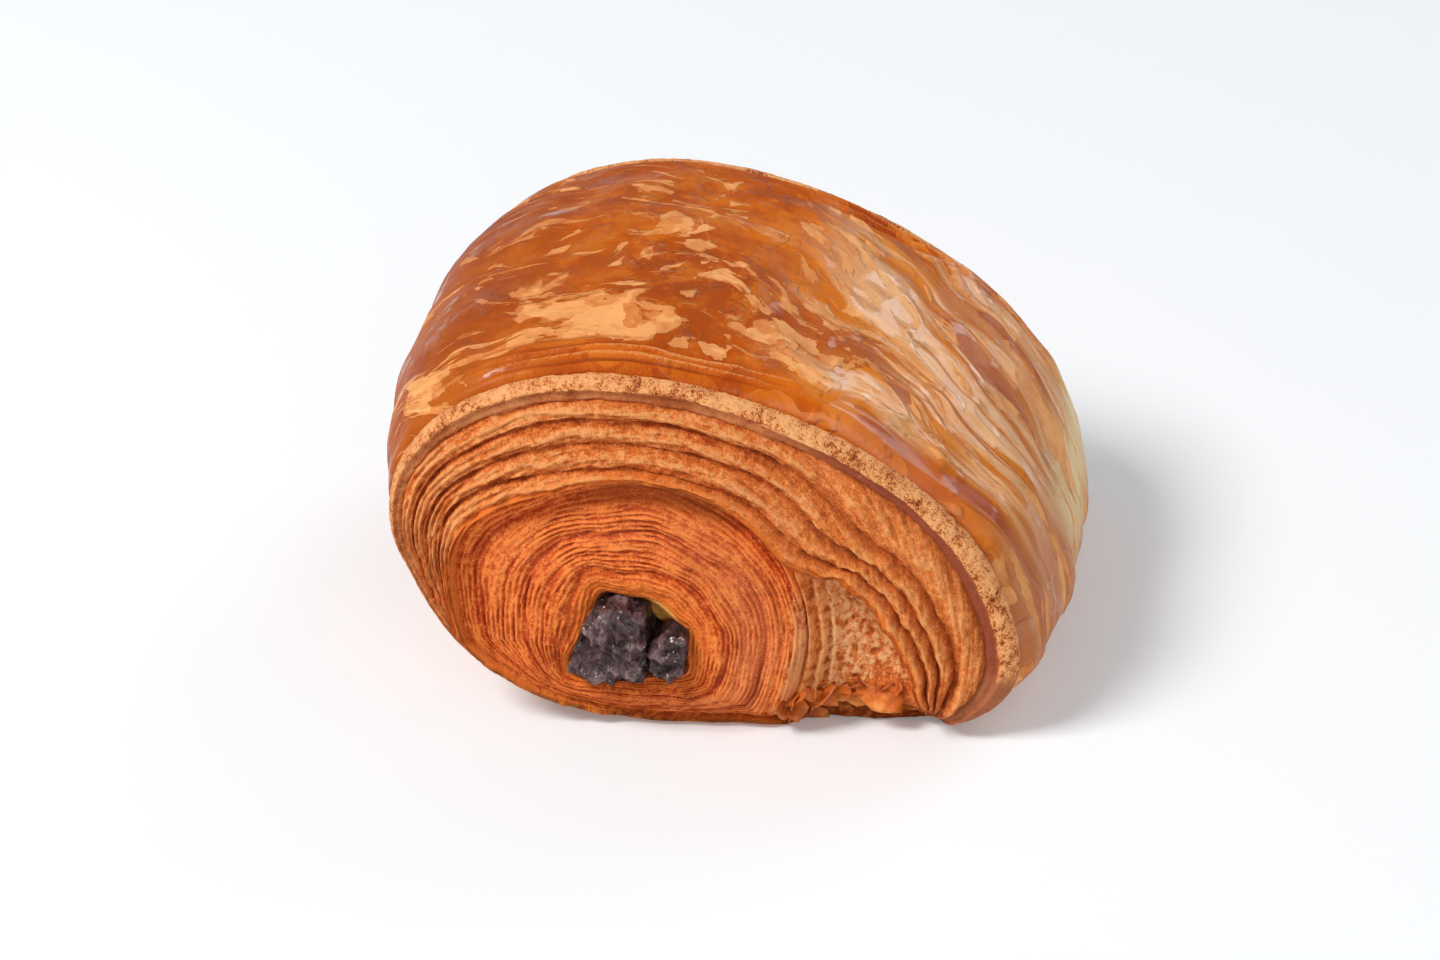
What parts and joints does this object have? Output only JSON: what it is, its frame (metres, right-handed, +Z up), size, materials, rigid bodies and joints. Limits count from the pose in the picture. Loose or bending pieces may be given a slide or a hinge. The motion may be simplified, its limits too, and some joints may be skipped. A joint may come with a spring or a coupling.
{
  "type": "pain au chocolat",
  "caption": "Baked roll of flaky layered dough wound round dark chocolate batons, with a glossy browned crust and open spiral ends.",
  "frame": {"origin": "centre of the bounding box at the flat underside, on the surface that the pastry rests on", "axes": "+X across the roll towards its lower side, +Y along the roll away from the spiral end that the picture shows, +Z up"},
  "size_m": [0.0959, 0.085, 0.054],
  "materials": {
    "crust": "glossy baked crust on the skin, matt flaky layers at the ends",
    "chocolate": "satin dark chocolate with a faint bloom"
  },
  "bodies": {
    "root": {"dough": "crust", "baton_left": "chocolate", "baton_right": "chocolate"}
  },
  "joints": []
}
